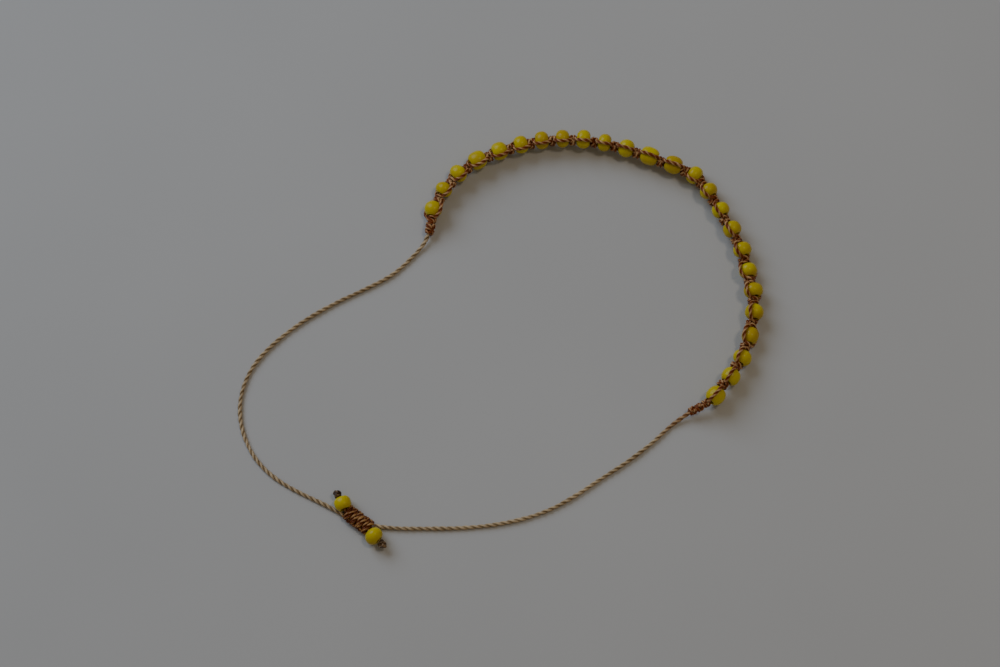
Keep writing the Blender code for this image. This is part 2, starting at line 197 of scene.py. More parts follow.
STOPPERS = {
    "left": {"diameter": 0.89, "length": 0.95, "turn_degrees": -32},
    "right": {"diameter": 0.98, "length": 0.98, "turn_degrees": -7},
}
STOPPER_OUT = {"left": 1.6 * MM, "right": 1.74 * MM}
STOPPER_ASIDE = {"left": 0.76 * MM, "right": -0.75 * MM}
TAIL_ASIDE = {"left": 0.05 * MM, "right": -0.6 * MM}
ENTRY_ASIDE = {"left": -0.9 * MM, "right": 1.15 * MM}

# A bead's rounded edge at its hole, as a share of its half length, and how much one side of it may
# be longer than the other
BEAD_LIP = 0.16
BEAD_UNEVEN_LENGTH = 0.045

# How the threads are drawn: the spacing or number of their points, and a ply's place and size as
# shares of the thread's radius
KNOTTED_STEP = 0.13 * MM
BARE_STEP = 0.2 * MM
TAIL_STEP = 0.15 * MM
CORE_POINTS = 420
PLY_OUT = 0.46
PLY_WIDTH = 0.72
PLY_DEPTH = 0.56

# How far the bare threads run on into the band's end knots, how close a working thread lies to a
# bead, and its fullness as a share of its diameter in knots
THREAD_TUCK = 0.4 * MM
THREAD_TO_GLASS = 0.02 * MM
WORKING_THREAD = 1.04

# The places of a working thread's points round a bead
BEAD_WAY_DEGREES = (152, 128, 104, 76, 52, 28)

# The core thread's share of its usual diameter, which the working threads pad out in the knots
CORE_BY_BEADS = 0.92
CORE_IN_KNOTS = 1.34
CORE_IN_END_KNOTS = 0.8

# The rows of knots at the band's ends: their thread, and how wide their first and last knots
# spread, as shares of what the knots between the beads have
END_ROWS = {
    "left": {"thread": 0.9, "first_spread": 0.72, "last_spread": 0.92},
    "right": {"thread": 0.7, "first_spread": 0.92, "last_spread": 0.72},
}

# The sliding knot's thread, spread and height as shares of the same, how full its wraps are drawn,
# and its two cores, which lie to both sides of the middle and stick out of the faces
SLIDER_THREAD = 1.08
SLIDER_SPREAD = 1.32
SLIDER_HEIGHT = 0.86
SLIDER_WRAPS = 1.05
SLIDER_CORE_ASIDE = 0.4 * MM
SLIDER_CORE_OUT = 0.2 * MM

# Shares of the thread's diameter in the sliding knot's cores and the tails, and in the overhand
# knots, and the melted drop
TAIL_THREAD = 0.9
OVERHAND_THREAD = 0.78
MELTED_DROP_RADIUS = 0.52 * MM

# The overhand knot: its middle, its tip and how far its loops swing along it, as shares of its
# length, then how far out they lie and how much they swing in and out, as shares of its radius
OVERHAND = {"middle": 0.48, "tip": 0.28, "along": 0.27, "out": 0.44, "swing": 0.2}

# One half of the front thread's way through a square knot: along it as a share of its length, then
# towards its upper edge and to its front in thread diameters. The other half mirrors this one.
SQUARE_KNOT = (
    {"along": -0.42, "towards": 1.24, "front": 0.12},
    {"along": -0.31, "towards": 0.90, "front": 0.82},
    {"along": -0.235, "towards": 0.12, "front": 1.08},
    {"along": -0.16, "towards": -0.66, "front": 0.92},
    {"along": -0.085, "towards": -1.13, "front": 0.44},
    {"along": 0.0, "towards": -1.26, "front": -0.08},
)

# Camera and lights
CAMERA_LENS = 75.9
CAMERA_ELEVATION_DEGREES = 72
CAMERA_DISTANCE = 0.445
LIGHTS = {
    "window": {"place": (-0.58, 0.55, 0.62), "width": 0.75, "colour": (0.66, 0.80, 1.0)},
    "second light": {"place": (0.32, 0.08, 0.94), "width": 0.16, "colour": (1.0, 0.87, 0.68)},
}
ROOM_COLOUR = (1.0, 0.88, 0.70)
ROOM_STRENGTH = 0.15


class BeadSettings(bpy.types.PropertyGroup):
    segments: IntProperty(
        name="Segments",
        description="Facets round each bead",
        default=48,
        min=16,
        max=96,
    )
    roundness: FloatProperty(
        name="Roundness",
        description="Two is a round edge, and more is a squarer one",
        default=2.15,
        min=2.0,
        max=4.0,
    )
    unevenness: FloatProperty(
        name="Unevenness",
        description="How far a bead's surface strays from round",
        default=0.045 * MM,
        subtype="DISTANCE",
        unit="LENGTH",
    )
    lemon: FloatVectorProperty(
        name="Lemon",
        description="The glass where it is brightest",
        default=(0.71, 0.575, 0.012),
        subtype="COLOR",
        size=3,
    )
    ochre: FloatVectorProperty(
        name="Ochre",
        description="The glass where it is deepest",
        default=(0.57, 0.393, 0.008),
        subtype="COLOR",
        size=3,
    )


class ThreadSettings(bpy.types.PropertyGroup):
    twist: FloatProperty(
        name="Twist length",
        description="Length of one full turn of the two plies",
        default=3.0 * MM,
        subtype="DISTANCE",
        unit="LENGTH",
    )
    knot_diameter: FloatProperty(
        name="Diameter in knots",
        description="The thread's diameter where a knot squeezes it",
        default=0.75 * MM,
        subtype="DISTANCE",
        unit="LENGTH",
    )
    beige: FloatVectorProperty(
        name="Beige",
        description="The bare thread's plies",
        default=(0.74, 0.56, 0.34),
        subtype="COLOR",
        size=3,
    )
    # Olive brown is a painted shade, put between the bare thread's plies
    olive: FloatVectorProperty(
        name="Olive brown",
        description="The bare thread between its plies",
        default=(0.27, 0.17, 0.075),
        subtype="COLOR",
        size=3,
    )
    # Russet is the knotted thread's colour on its crests, partly a painted highlight
    russet: FloatVectorProperty(
        name="Russet",
        description="The knotted thread's plies",
        default=(0.69, 0.42, 0.19),
        subtype="COLOR",
        size=3,
    )
    # Walnut: the sliding knot's plies, drawn darker than the band's
    walnut: FloatVectorProperty(
        name="Walnut",
        description="The sliding knot's plies, which handling has darkened",
        default=(0.52, 0.27, 0.09),
        subtype="COLOR",
        size=3,
    )
    # Umber is a painted shade, put between the knotted thread's plies
    umber: FloatVectorProperty(
        name="Umber",
        description="The knotted thread between its plies",
        default=(0.25, 0.050, 0.002),
        subtype="COLOR",
        size=3,
    )
    charred: FloatVectorProperty(
        name="Charred",
        description="The burnt ends",
        default=(0.05, 0.022, 0.010),
        subtype="COLOR",
        size=3,
    )


class StageSettings(bpy.types.PropertyGroup):
    floor_size: FloatProperty(
        name="Floor size",
        description="Width of the square floor",
        default=3.0,
        subtype="DISTANCE",
        unit="LENGTH",
    )
    floor_colour: FloatVectorProperty(
        name="Floor colour",
        description="The pale floor",
        default=(0.60, 0.594, 0.588),
        subtype="COLOR",
        size=3,
    )
    window_power: FloatProperty(
        name="Window power",
        description="The broad light from the upper left, in watts",
        default=4.6,
    )
    lamp_power: FloatProperty(
        name="Second light's power",
        description="The smaller light from above on the right, in watts",
        default=1.0,
    )


SETTINGS = {
    "bracelet_beads": BeadSettings,
    "bracelet_threads": ThreadSettings,
    "bracelet_stage": StageSettings,
}


def smooth_step(share):
    share = min(max(share, 0), 1)
    return share * share * (3 - 2 * share)


def spline_through(points, steps):
    """A smooth curve through the points, with so many steps between each two."""
    points = np.array(points, dtype=float)
    known = np.vstack([2 * points[0] - points[1], points, 2 * points[-1] - points[-2]])
    curve = []
    for i in range(len(points) - 1):
        a, b, c, d = known[i : i + 4]
        for t in np.arange(steps) / steps:
            even = 2 * b + (c - a) * t
            curved = (2 * a - 5 * b + 4 * c - d) * t**2 + (3 * b - a - 3 * c + d) * t**3
            curve.append((even + curved) / 2)
    curve.append(points[-1])
    return np.array(curve)


def lengths_along(curve):
    """How far along the curve each of its points lies."""
    spans = np.linalg.norm(np.diff(curve, axis=0), axis=1)
    return np.concatenate([[0], np.cumsum(spans)])


def evenly_spaced(curve, spacing):
    """The curve's points again, at even distances along it."""
    along = lengths_along(curve)
    count = max(2, round(along[-1] / spacing))
    places = np.linspace(0, along[-1], count + 1)
    return np.column_stack([np.interp(places, along, curve[:, axis]) for axis in range(3)])


class Route:
    """The loop seen from above, with places on it given by the distance along it."""

    def __init__(self):
        points = (np.array(ROUTE) - np.array(ROUTE_MIDDLE)) * MM
        self.curve = spline_through(points, 24)
        self.along = lengths_along(self.curve)
        self.length = float(self.along[-1])

    def plan(self, s):
        x = float(np.interp(s, self.along, self.curve[:, 0]))
        y = float(np.interp(s, self.along, self.curve[:, 1]))
        return Vector((x, y, 0))

    def direction(self, s):
        reach = THREAD_DIAMETER
        return (self.plan(s + reach) - self.plan(s - reach)).normalized()

    def outward(self, s):
        direction = self.direction(s)
        return Vector((-direction.y, direction.x, 0))


def bead_sizes(shares):
    """(radius, half length) of a bead."""
    return BEAD_DIAMETER / 2 * shares["diameter"], BEAD_LENGTH / 2 * shares["length"]


class Band:
    """Where each bead and knot of the band lies along the route, and how high and how leant."""

    def __init__(self, route):
        self.route = route
        self.start = LEFT_THREAD_LENGTH
        self.beads = []
        self.knots = []
        place = self.start + LEFT_END_LENGTH + BEAD_TO_KNOT
        for number, row in enumerate(BAND_BEADS, start=1):
            radius, half = bead_sizes(row)
            place += half
            lean = math.radians(row["lean"])
            reach = radius + BEAD_TO_THREAD + THREAD_DIAMETER / 2
            height = reach * math.cos(lean) + THREAD_DIAMETER / 2
            bead = {"number": number, "s": place, "radius": radius, "half": half}
            self.beads.append({**bead, "lean": lean, "height": height})
            place += half + BEAD_TO_KNOT
            if number < len(BAND_BEADS):
                length = KNOT_LENGTH * row["knot"]
                self.knots.append({"s": place + length / 2, "length": length})
                place += length + BEAD_TO_KNOT
        self.end = place + RIGHT_END_LENGTH
        self.places = [bead["s"] for bead in self.beads]
        self.leans = [bead["lean"] for bead in self.beads]
        self.heights = [bead["height"] for bead in self.beads]

    def height(self, s):
        """The core thread's height, which eases down to the surface past the end beads."""
        level = float(np.interp(s, self.places, self.heights))
        past = max(self.places[0] - s, s - self.places[-1], 0)
        ease = smooth_step(past / BAND_TO_SURFACE_RUN)
        return level + (THREAD_DIAMETER / 2 - level) * ease

    def core(self, s):
        return self.route.plan(s) + UP * self.height(s)

    def across(self, s, lean=None):
        """(towards the upper side thread, outward and square to it) at a place along the band."""
        if lean is None:
            lean = float(np.interp(s, self.places, self.leans))
        outward = self.route.outward(s)
        towards = outward * math.sin(lean) + UP * math.cos(lean)
        square = outward * math.cos(lean) - UP * math.sin(lean)
        return towards, square

    def point(self, s, towards, square, lean=None, centre=None):
        """The point at s along the band, so far towards its upper edge and square to that."""
        upper, aside = self.across(s, lean)
        middle = self.core(s) if centre is None else centre
        return middle + upper * towards + aside * square


class Slider:
    """The sliding knot's place: its two faces and the threads that enter and leave it."""

    def __init__(self):
        angle = math.radians(SLIDER_DIRECTION_DEGREES)
        middle = Vector((*ROUTE_MIDDLE, 0))
        self.along = Vector((math.cos(angle), math.sin(angle), 0))
        self.aside = Vector((-math.sin(angle), math.cos(angle), 0))
        height = SLIDER_THICKNESS / 2 * math.cos(math.pi / SLIDER_SIDES)
        self.left = (Vector((*SLIDER_LEFT_FACE, 0)) - middle) * MM + UP * height
        self.right = self.left + self.along * SLIDER_LENGTH

    def out_of(self, end):
        return -self.along if end == "left" else self.along

    def off_face(self, end, out, aside):
        """A point so far out of one end face and towards the loop's inner side."""
        face = self.left if end == "left" else self.right
        return face + self.out_of(end) * out + self.aside * aside

    def entry(self, end):
        """Where a bare thread enters: low on the face, on the side away from the stopper bead."""
        point = self.off_face(end, THREAD_END_GAP, ENTRY_ASIDE[end])
        point.z = SLIDER_ENTRY_HEIGHT
        return point

    def tail(self, end):
        return self.off_face(end, TAIL_TO_SLIDER, TAIL_ASIDE[end])

    def stopper(self, end):
        """(centre, axis, radius, half length) of the stopper bead at one end."""
        sizes = STOPPERS[end]
        radius, half = bead_sizes(sizes)
        out = self.out_of(end)
        turn = math.radians(sizes["turn_degrees"])
        axis = out * math.cos(turn) - out.cross(UP) * math.sin(turn)
        centre = self.off_face(end, STOPPER_OUT[end], STOPPER_ASIDE[end])
        centre.z = radius * math.cos(math.pi / SLIDER_SIDES)
        return centre, axis, radius, half


route = Route()
band = Band(route)
slider = Slider()


def place_object(name, data):
    """Put a mesh, light or camera in the scene, in place of any earlier one of that name."""
    for old in [item for item in bpy.data.objects if item.name == name]:
        bpy.data.objects.remove(old)
    placed = bpy.data.objects.new(name, data)
    bpy.context.collection.objects.link(placed)
    return placed


def new_piece(name, mesh, material, replaced):
    """Put a mesh in the scene as a piece of the bracelet, in place of its solids."""
    mesh.name = name
    mesh.materials.append(material)
    mesh.shade_smooth()
    piece = place_object(name, mesh)
    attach(piece, "root")
    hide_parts(*replaced)
    return piece


def rows_to_mesh(name, rows, closed=False):
    """Skin rows of points with quads. Open rows get a flat face at both ends."""
    rows = np.array(rows, dtype=float)
    count, sides, _ = rows.shape
    i, j = np.indices((count if closed else count - 1, sides))
    after_i = (i + 1) % count
    after_j = (j + 1) % sides
    corners = [i * sides + j, i * sides + after_j, after_i * sides + after_j, after_i * sides + j]
    faces = np.stack(corners, axis=-1).reshape(-1, 4).tolist()
    if not closed:
        faces.append(list(range(sides))[::-1])
        faces.append([(count - 1) * sides + k for k in range(sides)])
    mesh = bpy.data.meshes.new(name)
    mesh.from_pydata(rows.reshape(-1, 3).tolist(), [], faces)
    return mesh


def add_ply_uv(mesh, lengths, sides, ply):
    """Map a ply's quads: u is the millimetres along it, v its number plus the share round it."""
    i, j = np.indices((len(lengths) - 1, sides))
    around = ply + j / sides
    around_next = ply + (j + 1) / sides
    low = lengths[i]
    high = lengths[i + 1]
    corners = [(low, around), (low, around_next), (high, around_next), (high, around)]
    corners = np.stack([np.stack(corner, axis=-1) for corner in corners], axis=2).reshape(-1, 2)
    layer = mesh.uv_layers.new(name="thread")
    data = np.zeros((len(layer.data), 2))
    data[: len(corners)] = corners
    layer.data.foreach_set("uv", data.ravel())


def join_meshes(name, meshes):
    joined = bmesh.new()
    for mesh in meshes:
        joined.from_mesh(mesh)
        bpy.data.meshes.remove(mesh)
    bmesh.ops.recalc_face_normals(joined, faces=joined.faces)
    result = bpy.data.meshes.new(name)
    joined.to_mesh(result)
    joined.free()
    return result


def carried_sides(points):
    """Directions across a path, carried along it so that they don't twist."""
    tangents = np.gradient(points, axis=0)
    tangents /= np.linalg.norm(tangents, axis=1)[:, None]
    side = np.cross(tangents[0], (0.0, 0.0, 1.0))
    if np.linalg.norm(side) < 0.1:
        side = np.cross(tangents[0], (1.0, 0.0, 0.0))
    sides = []
    for tangent in tangents:
        side = side - tangent * np.dot(side, tangent)
        side /= np.linalg.norm(side)
        sides.append(side)
    sides = np.array(sides)
    return sides, np.cross(tangents, sides)


def twisted_thread(name, points, diameter, twist, ply_sides, seed):
    """Two plies twisted round a path. The diameter may be a number or one for each point."""
    points = np.array(points, dtype=float)
    along = lengths_along(points)
    radius = np.broadcast_to(np.asarray(diameter, dtype=float) / 2, len(points))
    first, second = carried_sides(points)
    waves = np.random.RandomState(seed).uniform(0, 2 * math.pi, 3)
    slack = 0.05 * np.sin(along / (2.3 * MM) + waves[0])
    slack += 0.04 * np.sin(along / (0.9 * MM) + waves[1])
    turn = 2 * math.pi * along / twist + 0.5 * np.sin(along / (7 * MM) + waves[2])
    meshes = []
    for ply in (0, 1):
        angle = turn + math.pi * ply
        out = first * np.cos(angle)[:, None] + second * np.sin(angle)[:, None]
        round_about = second * np.cos(angle)[:, None] - first * np.sin(angle)[:, None]
        centre = points + out * (radius * (PLY_OUT + slack * 0.4))[:, None]
        wide = radius * (PLY_WIDTH + slack)
        deep = radius * (PLY_DEPTH + slack * 0.5)
        rows = []
        for k in range(ply_sides):
            around = 2 * math.pi * k / ply_sides
            offset = out * (deep * math.cos(around))[:, None]
            offset = offset + round_about * (wide * math.sin(around))[:, None]
            rows.append(centre + offset)
        mesh = rows_to_mesh(name, np.stack(rows, axis=1))
        add_ply_uv(mesh, along / MM, ply_sides, ply)
        meshes.append(mesh)
    return join_meshes(name, meshes)


class Finish:
    """A material in the making: its shader, and the nodes that feed it."""

    def __init__(self, name):
        self.material = bpy.data.materials.new(name)
        self.material.use_nodes = True
        self.tree = self.material.node_tree
        self.shader = self.tree.nodes["Principled BSDF"]

    def add(self, kind, numbers, inputs):
        """A new node with these numbers set and these inputs linked."""
        node = self.tree.nodes.new(kind)
        for socket, value in numbers.items():
            node.inputs[socket].default_value = value
        for socket, source in inputs.items():
            self.tree.links.new(source, node.inputs[socket])
        return node

    def object_place(self):
        return self.add("ShaderNodeTexCoord", {}, {}).outputs["Object"]

    def noise(self, vector, scale, detail):
        numbers = {"Scale": scale, "Detail": detail}
        return self.add("ShaderNodeTexNoise", numbers, {"Vector": vector}).outputs["Fac"]

    def work_out(self, operation, first, second=None):
        """One step of arithmetic. The second value may be a number or a node's output."""
        node = self.add("ShaderNodeMath", {}, {0: first})
        node.operation = operation
        if isinstance(second, float):
            node.inputs[1].default_value = second
        elif second is not None:
            self.tree.links.new(second, node.inputs[1])
        return node.outputs["Value"]

    def add_share(self, total, noise, share):
        """Total, shifted up and down by a share of a noise that is 0.5 on average."""
        shift = self.work_out("SUBTRACT", noise, 0.5)
        return self.work_out("ADD", total, self.work_out("MULTIPLY", shift, share))

    def ramp(self, factor, low, high, start, stop):
        """A colour that goes from low to high as factor goes from start to stop."""
        node = self.add("ShaderNodeValToRGB", {}, {"Fac": factor})
        first, last = node.color_ramp.elements
        first.position = start
        first.color = (*low, 1)
        last.position = stop
        last.color = (*high, 1)
        return node.outputs["Color"]

    def fade_along(self, along, first, later):
        """A colour that starts mostly as first and is all later from the tenth millimetre on."""
        numbers = {"From Min": 1.0, "From Max": 10.0, "To Min": 0.35, "To Max": 1.0}
        share = self.add("ShaderNodeMapRange", numbers, {"Value": along}).outputs["Result"]
        mix = self.add("ShaderNodeMix", {}, {})
        mix.data_type = "RGBA"
        for socket, source in (("Factor", share), ("A", first), ("B", later)):
            self.tree.links.new(source, mix.inputs[socket])
        return mix.outputs["Result"]

    def bump(self, height, strength, distance):
        """Raise the surface by height."""
        numbers = {"Strength": strength, "Distance": distance}
        node = self.add("ShaderNodeBump", numbers, {"Height": height})
        self.tree.links.new(node.outputs["Normal"], self.shader.inputs["Normal"])

    def finished(self, colour, numbers):
        """The material, with this base colour and these numbers on its shader."""
        self.tree.links.new(colour, self.shader.inputs["Base Color"])
        for socket, value in numbers.items():
            self.shader.inputs[socket].default_value = value
        return self.material


def yellow_glass_material():
    """Opaque yellow glass: each bead's own tint, faint streaks and a fire-polished gloss."""
    settings = bpy.context.scene.bracelet_beads
    finish = Finish("yellow glass")
    place = finish.object_place()
    each_bead = finish.noise(place, 170.0, 0.0)
    streaks = finish.work_out("MULTIPLY", finish.noise(place, 1400.0, 3.0), 0.35)
    tint = finish.work_out("ADD", streaks, each_bead)
    finish.bump(finish.noise(place, 900.0, 2.0), 0.12, 0.05 * MM)
    numbers = {
        "Roughness": 0.36,
        "IOR": 1.52,
        "Specular IOR Level": 0.24,
        "Coat Weight": 0.05,
        "Coat Roughness": 0.15,
        "Subsurface Weight": 0.12,
        "Subsurface Radius": (1.0, 0.7, 0.05),
        "Subsurface Scale": 0.6 * MM,
    }
    colour = finish.ramp(tint, settings.ochre, settings.lemon, 0.45, 0.85)
    return finish.finished(colour, numbers)


def thread_material(name, crest, valley_shade, roughness, shade_width, near_band=None):
    """Waxed thread: fibres along each ply, painted shade where the plies meet, light on their
    crests.

    near_band is a (crest, valley) pair that the thread's first centimetre takes on.
    """
    finish = Finish(name)
    uv = finish.add("ShaderNodeUVMap", {}, {})
    uv.uv_map = "thread"
    parts = finish.add("ShaderNodeSeparateXYZ", {}, {"Vector": uv.outputs["UV"]})
    along, around = parts.outputs["X"], parts.outputs["Y"]
    # Painted shade on each ply's inner side, where it meets the other ply; its outer crest stays
    # light
    from_inside = finish.work_out("SUBTRACT", finish.work_out("FRACT", around), 0.5)
    from_inside = finish.work_out("ABSOLUTE", from_inside)
    stretched = {
        "X": finish.work_out("MULTIPLY", along, 0.7),
        "Y": finish.work_out("MULTIPLY", around, 9.0),
    }
    fibre_place = finish.add("ShaderNodeCombineXYZ", {}, stretched).outputs["Vector"]
    fibres = finish.noise(fibre_place, 2.4, 3.0)
    wear = finish.noise(finish.object_place(), 260.0, 2.0)
    light = finish.work_out("MULTIPLY", from_inside, 2.0)
    light = finish.add_share(light, fibres, 1.5)
    light = finish.add_share(light, wear, 0.9)
    # From the painted shade between the plies up to the crest colour
    colour = finish.ramp(light, valley_shade, crest, shade_width, 0.95)
    if near_band:
        first = finish.ramp(light, near_band[1], near_band[0], shade_width, 0.95)
        colour = finish.fade_along(along, first, colour)
    finish.bump(fibres, 0.9, 0.07 * MM)
    numbers = {
        "Roughness": roughness,
        "Sheen Weight": 0.04,
        "Sheen Roughness": 0.4,
        "Specular IOR Level": 0.32,
    }
    return finish.finished(colour, numbers)


def dark_thread_material():
    """The knotted thread of the sliding knot and tails, with darker plies and a deeper painted
    shade.
    """
    settings = bpy.context.scene.bracelet_threads
    # Deeper painted shade between the plies, spread over more of each ply
    deeper_shade = [0.62 * part for part in settings.umber]
    return thread_material("sliding knot thread", settings.walnut, deeper_shade, 0.4, 0.8)


def burnt_material():
    """Melted and blackened thread with a slight shine."""
    settings = bpy.context.scene.bracelet_threads
    finish = Finish("burnt thread")
    patches = finish.noise(finish.object_place(), 1500.0, 3.0)
    colour = finish.ramp(patches, settings.charred, settings.russet, 0.45, 0.95)
    finish.bump(patches, 0.6, 0.08 * MM)
    return finish.finished(colour, {"Roughness": 0.42})


def floor_material(pale):
    """A pale matt surface, slightly dimmer in patches."""
    finish = Finish("pale floor")
    patches = finish.noise(finish.object_place(), 14.0, 2.0)
    dim = [0.96 * value for value in pale]
    colour = finish.ramp(patches, dim, pale, 0.3, 0.7)
    return finish.finished(colour, {"Roughness": 0.9, "Specular IOR Level": 0.2})


def bead_section(radius, half, roundness):
    """The section of a bead's wall, as (along the hole, from the axis), once round."""
    hole = BEAD_HOLE / 2
    wall = []
    for turn in np.linspace(-1, 1, 27):
        along = half * math.sin(turn * math.pi / 2)
        share = abs(along / (BEAD_BULGE * half)) ** roundness
        wall.append((along, radius * (1 - share) ** (1 / roundness)))
    edge = wall[-1][1]
    lip = []
    for turn in np.linspace(0.2, 1, 5) * math.pi / 2:
        along = half * (1 - BEAD_LIP + BEAD_LIP * math.cos(turn))
        lip.append((along, edge - (edge - hole) * math.sin(turn)))
    mirrored = [(-along, out) for along, out in lip[::-1]]
    return wall + lip + [(0.0, hole)] + mirrored


def bead_mesh(name, centre, axis, flat_side, radius, half, seed):
    """A seed bead of pressed glass: a thick rounded ring, slightly uneven like all such beads."""
    settings = bpy.context.scene.bracelet_beads
    axis = axis.normalized()
    first = (flat_side - axis * flat_side.dot(axis)).normalized()
    second = axis.cross(first)
    axis, first, second = (np.array(v) for v in (axis, first, second))
    rng = np.random.RandomState(seed)
    waves = rng.uniform(0, 2 * math.pi, 5)
    tilt = rng.uniform(-1, 1)
    section = bead_section(radius, half, settings.roundness + rng.uniform(-0.1, 0.35))
    rows = []
    for i in range(settings.segments):
        angle = 2 * math.pi * i / settings.segments
        spoke = first * math.cos(angle) + second * math.sin(angle)
        stray = math.sin(2 * angle + waves[0]) + 0.6 * math.sin(3 * angle + waves[1])
        thick = 1 + BEAD_UNEVEN_LENGTH * tilt * math.sin(angle + waves[2])
        row = []
        for along, out in section:
            lump = 1 + stray * 0.5 + 0.5 * math.sin(2.4 * along / half + 2 * angle + waves[3])
            share = (out - BEAD_HOLE / 2) / (radius - BEAD_HOLE / 2)
            reach = out - settings.unevenness * share * lump
            row.append(np.array(centre) + axis * along * thick + spoke * reach)
        rows.append(row)
    return rows_to_mesh(name, rows, closed=True)


def square_knot_way(place, length, diameter, side, front_shift=0.0, spread=1.0):
    """One thread's way through a square knot: side is 1 for the front thread, -1 for the back."""
    second_half = [dict(row, along=-row["along"]) for row in SQUARE_KNOT[-2::-1]]
    way = []
    for row in (*SQUARE_KNOT, *second_half):
        s = place + row["along"] * length
        towards = row["towards"] * spread * diameter * side
        front = row["front"] * diameter * side + front_shift
        way.append((s, towards, front))
    return way


def end_row_way(start, length, row, diameter, side):
    """One thread's way through a row of knots at the band's end."""
    each = length / END_KNOTS
    spreads = np.linspace(row["first_spread"], row["last_spread"], END_KNOTS)
    way = []
    for i, spread in enumerate(spreads):
        place = start + (i + 0.5) * each
        way += square_knot_way(place, each, diameter * row["thread"], side, spread=spread)
    return way


def bead_way(bead, diameter, side):
    """One thread's way round a bead, close against it."""
    reach = diameter / 2 + THREAD_TO_GLASS
    way = []
    for degrees in BEAD_WAY_DEGREES:
        angle = math.radians(degrees)
        s = bead["s"] + (BEAD_BULGE * bead["half"] + reach) * math.cos(angle)
        out = (bead["radius"] + reach) * math.sin(angle)
        way.append((s, out * side, BEAD_SHIFT_OUT))
    return way


def working_thread_points(side, knot_diameter):
    """One working thread's points, from the band's first end knot to its last."""
    way = end_row_way(band.start, LEFT_END_LENGTH, END_ROWS["left"], knot_diameter, side)
    points = in_band(way)
    for bead, knot in zip(band.beads, band.knots + [None]):
        points += in_band(bead_way(bead, THREAD_DIAMETER, side), bead)
        if knot:
            way = square_knot_way(knot["s"], knot["length"], knot_diameter, side, -KNOT_SHIFT_IN)
            points += in_band(way)
    right_start = band.end - RIGHT_END_LENGTH
    way = end_row_way(right_start, RIGHT_END_LENGTH, END_ROWS["right"], knot_diameter, side)
    return points + in_band(way)


def in_band(way, bead=None):
    """Turn a way's (along, towards, square) into points, all in one plane across a given bead."""
    points = []
    for s, towards, square in way:
        if bead:
            centre = route.plan(s) + UP * bead["height"]
            points.append(band.point(s, towards, square, bead["lean"], centre))
        else:
            points.append(band.point(s, towards, square))
    return points


def above_floor(points, diameter):
    """Lift what would press into the surface."""
    points = np.array(points, dtype=float)
    points[:, 2] = np.maximum(points[:, 2], diameter / 2)
    return points


def bare_thread_points(start, end, entry, entry_at_start):
    """A bare thread's points from place start to place end, bent to its entry in the knot."""
    count = round((end - start) / THREAD_POINT_SPACING)
    near_end = start if entry_at_start else end
    offset = entry - band.core(near_end)
    points = []
    for i in range(count + 1):
        s = start + (end - start) * i / count
        ease = 1 - smooth_step(abs(s - near_end) / THREAD_BLEND)
        points.append(band.core(s) + offset * ease)
    return points


class BRACELET_OT_band_beads(bpy.types.Operator):
    """Make the glass beads of the band"""

    bl_idname = "bracelet.band_beads"
    bl_label = "Band beads"

    def execute(self, context):
        material = yellow_glass_material()
        for bead in band.beads:
            s = bead["s"]
            centre = band.core(s) + route.outward(s) * BEAD_SHIFT_OUT
            axis = band.core(s + bead["half"]) - band.core(s - bead["half"])
            node = f"bead_{bead['number']:02d}"
            flat_side = band.across(s, bead["lean"])[0]
            seed = bead["number"]
            mesh = bead_mesh(node, centre, axis, flat_side, bead["radius"], bead["half"], seed)
            new_piece(f"glass_{node}", mesh, material, [node])
        return {"FINISHED"}


class BRACELET_OT_stopper_beads(bpy.types.Operator):
    """Make the two beads beside the sliding knot"""

    bl_idname = "bracelet.stopper_beads"
    bl_label = "Stopper beads"

    def execute(self, context):
        material = yellow_glass_material()
        for seed, end in ((31, "left"), (32, "right")):
            node = f"stopper_bead_{end}"
            centre, axis, radius, half = slider.stopper(end)
            mesh = bead_mesh(node, centre, axis, -UP, radius, half, seed)
            new_piece(f"glass_{node}", mesh, material, [node])
        return {"FINISHED"}


class BRACELET_OT_knotted_threads(bpy.types.Operator):
    """Tie the band: the core thread, and two working threads in square knots round it"""

    bl_idname = "bracelet.knotted_threads"
    bl_label = "Knotted threads"

    def execute(self, context):
        settings = context.scene.bracelet_threads
        material = thread_material("knotted thread", settings.russet, settings.umber, 0.42, 0.62)
        self.make_core(settings, material)
        self.make_working_thread("working_thread_front", 1, settings, material)
        self.make_working_thread("working_thread_back", -1, settings, material)
        return {"FINISHED"}

    def make_core(self, settings, material):
        places = np.linspace(band.start, band.end, CORE_POINTS)
        points = [band.core(s) for s in places]
        diameter = THREAD_DIAMETER * np.array([self.core_fullness(s) for s in places])
        mesh = twisted_thread("core_thread", points, diameter, settings.twist, 8, 3)
        new_piece("core_thread", mesh, material, ["knotted_band"])

    def core_fullness(self, s):
        """The core's share of its usual diameter: the two working threads pad it in each knot."""
        if s < band.start + LEFT_END_LENGTH or s > band.end - RIGHT_END_LENGTH:
            return CORE_IN_END_KNOTS
        nearest = min(band.knots, key=lambda knot: abs(knot["s"] - s))
        inside = 1 - abs(nearest["s"] - s) / (nearest["length"] * 0.6)
        return CORE_BY_BEADS + (CORE_IN_KNOTS - CORE_BY_BEADS) * smooth_step(inside * 2)

    def make_working_thread(self, name, side, settings, material):
        points = working_thread_points(side, settings.knot_diameter)
        curve = evenly_spaced(spline_through(points, 12), KNOTTED_STEP)
        curve = above_floor(curve, settings.knot_diameter)
        diameter = settings.knot_diameter * WORKING_THREAD
        mesh = twisted_thread(name, curve, diameter, settings.twist, 7, 5 + side)
        new_piece(name, mesh, material, ["knotted_band"])


